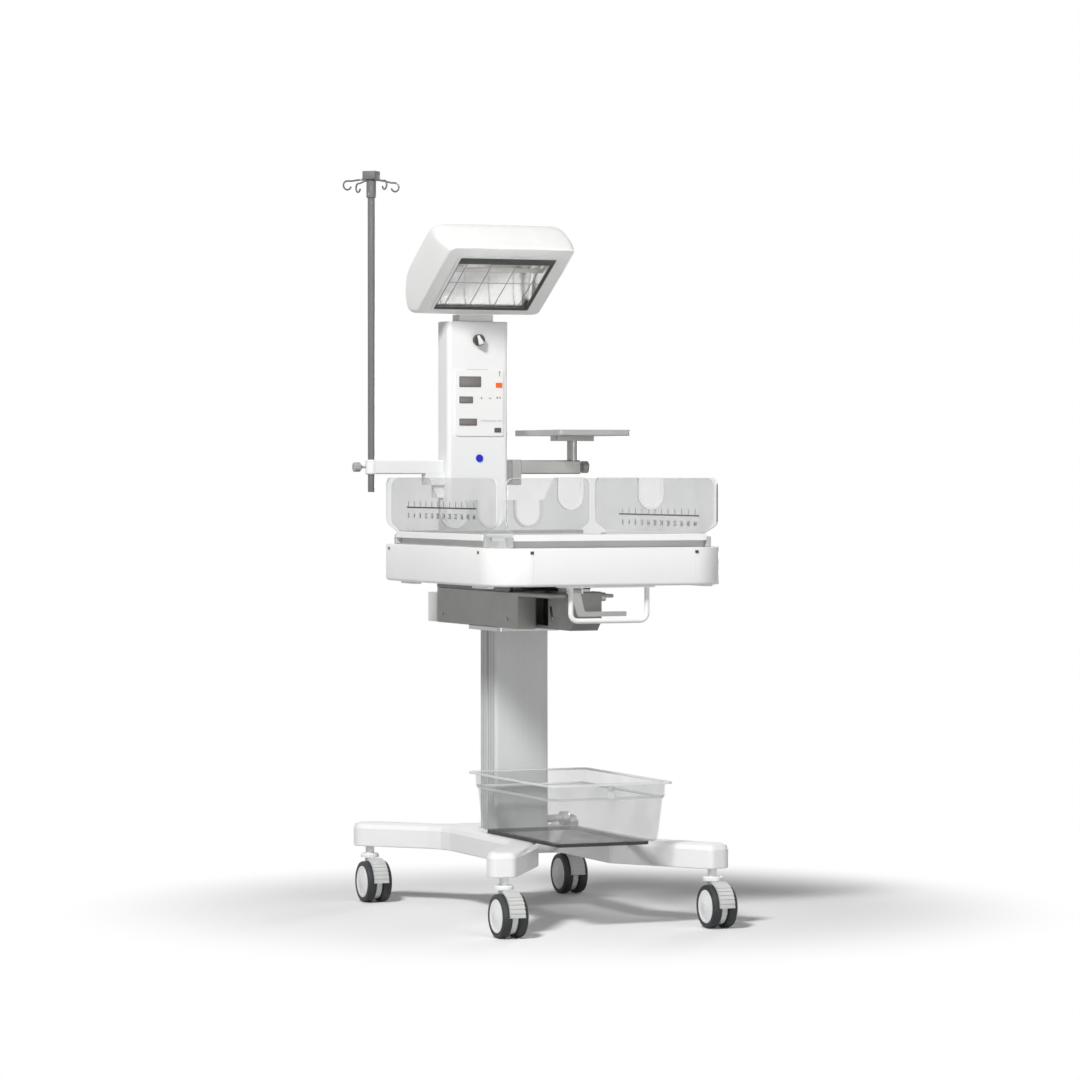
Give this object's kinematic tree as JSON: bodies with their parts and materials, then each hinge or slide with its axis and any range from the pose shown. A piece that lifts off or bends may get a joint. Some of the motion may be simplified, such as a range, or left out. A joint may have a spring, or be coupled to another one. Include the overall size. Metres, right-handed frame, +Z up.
{
  "type": "infant radiant warmer",
  "caption": "Hospital infant warmer: a tilting bed with clear fold-down walls on a lifting column, a swivelling heater hood above, a drip pole, a shelf and a castor base.",
  "frame": {"origin": "centre of the footprint, on the floor", "axes": "+Z up, -Y towards the foot end of the bed, +X to the right seen from it"},
  "size_m": [0.7682, 1.1224, 1.919],
  "materials": {
    "white": "satin white paint",
    "housing": "satin dark grey",
    "column": "satin anodised",
    "grey": "satin grey",
    "dark": "matt black",
    "rubber": "matt",
    "tyre": "matt",
    "tray": "satin",
    "steel": "brushed",
    "chrome": "polished",
    "pad": "soft sheet",
    "clear": "clear polished",
    "overlay": "satin film",
    "orange": "satin",
    "blue": "satin",
    "quartz": "milky"
  },
  "bodies": {
    "base": {"base_chassis": "white", "bin_rails": "dark", "side_peg": "dark", "column_outer": "column"},
    "bin": {"storage_bin": "clear"},
    "lift": {"column_inner": "steel", "support_housing": "housing", "housing_rear_cap": "white", "support_beam": "dark", "tilt_bracket": "grey", "tilt_pin": "steel", "upper_column": "white", "control_panel": "overlay", "pole_arm": "white", "shelf_arm": "grey"},
    "bed": {"bed_tray": "tray", "bed_deck": "grey", "mattress": "pad", "tilt_link": "steel", "bed_handle": "white", "panel_back": "clear", "grommet_back_left": "white", "grommet_back_middle": "white", "grommet_back_right": "white"},
    "front_wall": {"panel_front": "clear", "strip_front": "white", "grommet_front_left": "white", "grommet_front_right": "white"},
    "left_wall": {"panel_left": "clear", "strip_left": "white"},
    "right_wall": {"panel_right": "clear", "strip_right": "white"},
    "lever": {"tilt_lever": "grey"},
    "orange_key": {"key_orange": "orange"},
    "dark_key": {"key_dark": "dark"},
    "blue_key": {"key_blue": "blue"},
    "hood_lock": {"hood_lock_knob": "chrome"},
    "hood": {"hood_neck": "white", "hood_shell": "white", "hood_gasket": "rubber", "reflector": "chrome", "heater_tube": "quartz", "wire_grille": "steel"},
    "pole": {"drip_pole": "steel"},
    "pole_clamp": {"pole_knob": "dark"},
    "tray_shelf": {"shelf_post": "steel", "shelf": "grey"},
    "shelf_clamp": {"shelf_knob": "dark"},
    "castor_front_left": {"castor_housing_front_left": "white"},
    "wheels_front_left": {"castor_wheels_front_left": "tyre"},
    "pedal_front_left": {"castor_pedal_front_left": "grey"},
    "castor_front_right": {"castor_housing_front_right": "white"},
    "wheels_front_right": {"castor_wheels_front_right": "tyre"},
    "pedal_front_right": {"castor_pedal_front_right": "grey"},
    "castor_rear_left": {"castor_housing_rear_left": "white"},
    "wheels_rear_left": {"castor_wheels_rear_left": "tyre"},
    "pedal_rear_left": {"castor_pedal_rear_left": "grey"},
    "castor_rear_right": {"castor_housing_rear_right": "white"},
    "wheels_rear_right": {"castor_wheels_rear_right": "tyre"},
    "pedal_rear_right": {"castor_pedal_rear_right": "grey"}
  },
  "joints": [
    {"name": "column_lift", "type": "slide", "parent": "base", "child": "lift", "axis": [0, 0, 1], "range_m": [0, 0.25]},
    {"name": "bed_tilt", "type": "hinge", "parent": "lift", "child": "bed", "pos_m": [-0.01088, -0.3161, 0.8195], "axis": [1, 0, 0], "range_deg": [0, 12]},
    {"name": "hood_swivel", "type": "hinge", "parent": "lift", "child": "hood", "pos_m": [-0.01088, 0.4112, 1.5283], "axis": [0, 0, 1], "range_deg": [-40, 90]},
    {"name": "hood_lock_turn", "type": "hinge", "parent": "lift", "child": "hood_lock", "pos_m": [-0.01288, 0.3722, 1.479], "axis": [0, -1, 0], "range_deg": [0, 180]},
    {"name": "lever_squeeze", "type": "hinge", "parent": "bed", "child": "lever", "pos_m": [-0.08688, -0.4341, 0.8375], "axis": [-1, 0, 0], "range_deg": [0, 11], "stiffness_Nm_per_rad": 1.5, "springref_deg": -8.59},
    {"name": "bin_slide", "type": "slide", "parent": "base", "child": "bin", "axis": [0, -1, 0], "range_m": [0, 0.3]},
    {"name": "pole_slide", "type": "slide", "parent": "lift", "child": "pole", "axis": [0, 0, -1], "range_m": [0, 0.42]},
    {"name": "pole_knob_turn", "type": "hinge", "parent": "lift", "child": "pole_clamp", "pos_m": [-0.31568, 0.4112, 1.1435], "axis": [-1, 0, 0], "range_deg": [0, 180]},
    {"name": "shelf_swivel", "type": "hinge", "parent": "lift", "child": "tray_shelf", "pos_m": [0.27712, 0.4112, 1.162], "axis": [0, 0, 1], "continuous": true},
    {"name": "shelf_knob_turn", "type": "hinge", "parent": "lift", "child": "shelf_clamp", "pos_m": [0.29622, 0.4112, 1.1435], "axis": [1, 0, 0], "range_deg": [0, 180]},
    {"name": "orange_key_press", "type": "slide", "parent": "lift", "child": "orange_key", "axis": [0, 1, 0], "range_m": [0, 0.0012], "stiffness_N_per_m": 400, "springref_m": -0.0006},
    {"name": "dark_key_press", "type": "slide", "parent": "lift", "child": "dark_key", "axis": [0, 1, 0], "range_m": [0, 0.0012], "stiffness_N_per_m": 400, "springref_m": -0.0006},
    {"name": "blue_key_press", "type": "slide", "parent": "lift", "child": "blue_key", "axis": [0, 1, 0], "range_m": [0, 0.0012], "stiffness_N_per_m": 400, "springref_m": -0.0006},
    {"name": "left_panel_drop", "type": "hinge", "parent": "bed", "child": "left_wall", "pos_m": [-0.30748, -0.09435, 0.967], "axis": [0, -1, 0], "range_deg": [0, 120]},
    {"name": "right_panel_drop", "type": "hinge", "parent": "bed", "child": "right_wall", "pos_m": [0.28572, -0.09435, 0.967], "axis": [0, 1, 0], "range_deg": [0, 120]},
    {"name": "front_panel_drop", "type": "hinge", "parent": "bed", "child": "front_wall", "pos_m": [-0.01088, -0.4782, 0.967], "axis": [1, 0, 0], "range_deg": [0, 120]},
    {"name": "castor_swivel_front_left", "type": "hinge", "parent": "base", "child": "castor_front_left", "pos_m": [-0.29188, -0.4711, 0.146], "axis": [0, 0, 1], "continuous": true},
    {"name": "wheel_roll_front_left", "type": "hinge", "parent": "castor_front_left", "child": "wheels_front_left", "pos_m": [-0.29188, -0.4981, 0.054], "axis": [1, 0, 0], "continuous": true},
    {"name": "pedal_press_front_left", "type": "hinge", "parent": "castor_front_left", "child": "pedal_front_left", "pos_m": [-0.29188, -0.4981, 0.054], "axis": [1, 0, 0], "range_deg": [0, 12]},
    {"name": "castor_swivel_front_right", "type": "hinge", "parent": "base", "child": "castor_front_right", "pos_m": [0.27012, -0.4711, 0.146], "axis": [0, 0, 1], "continuous": true},
    {"name": "wheel_roll_front_right", "type": "hinge", "parent": "castor_front_right", "child": "wheels_front_right", "pos_m": [0.27012, -0.4981, 0.054], "axis": [1, 0, 0], "continuous": true},
    {"name": "pedal_press_front_right", "type": "hinge", "parent": "castor_front_right", "child": "pedal_front_right", "pos_m": [0.27012, -0.4981, 0.054], "axis": [1, 0, 0], "range_deg": [0, 12]},
    {"name": "castor_swivel_rear_left", "type": "hinge", "parent": "base", "child": "castor_rear_left", "pos_m": [-0.29188, 0.4429, 0.146], "axis": [0, 0, 1], "continuous": true},
    {"name": "wheel_roll_rear_left", "type": "hinge", "parent": "castor_rear_left", "child": "wheels_rear_left", "pos_m": [-0.29188, 0.4159, 0.054], "axis": [1, 0, 0], "continuous": true},
    {"name": "pedal_press_rear_left", "type": "hinge", "parent": "castor_rear_left", "child": "pedal_rear_left", "pos_m": [-0.29188, 0.4159, 0.054], "axis": [1, 0, 0], "range_deg": [0, 12]},
    {"name": "castor_swivel_rear_right", "type": "hinge", "parent": "base", "child": "castor_rear_right", "pos_m": [0.27012, 0.4429, 0.146], "axis": [0, 0, 1], "continuous": true},
    {"name": "wheel_roll_rear_right", "type": "hinge", "parent": "castor_rear_right", "child": "wheels_rear_right", "pos_m": [0.27012, 0.4159, 0.054], "axis": [1, 0, 0], "continuous": true},
    {"name": "pedal_press_rear_right", "type": "hinge", "parent": "castor_rear_right", "child": "pedal_rear_right", "pos_m": [0.27012, 0.4159, 0.054], "axis": [1, 0, 0], "range_deg": [0, 12]}
  ]
}
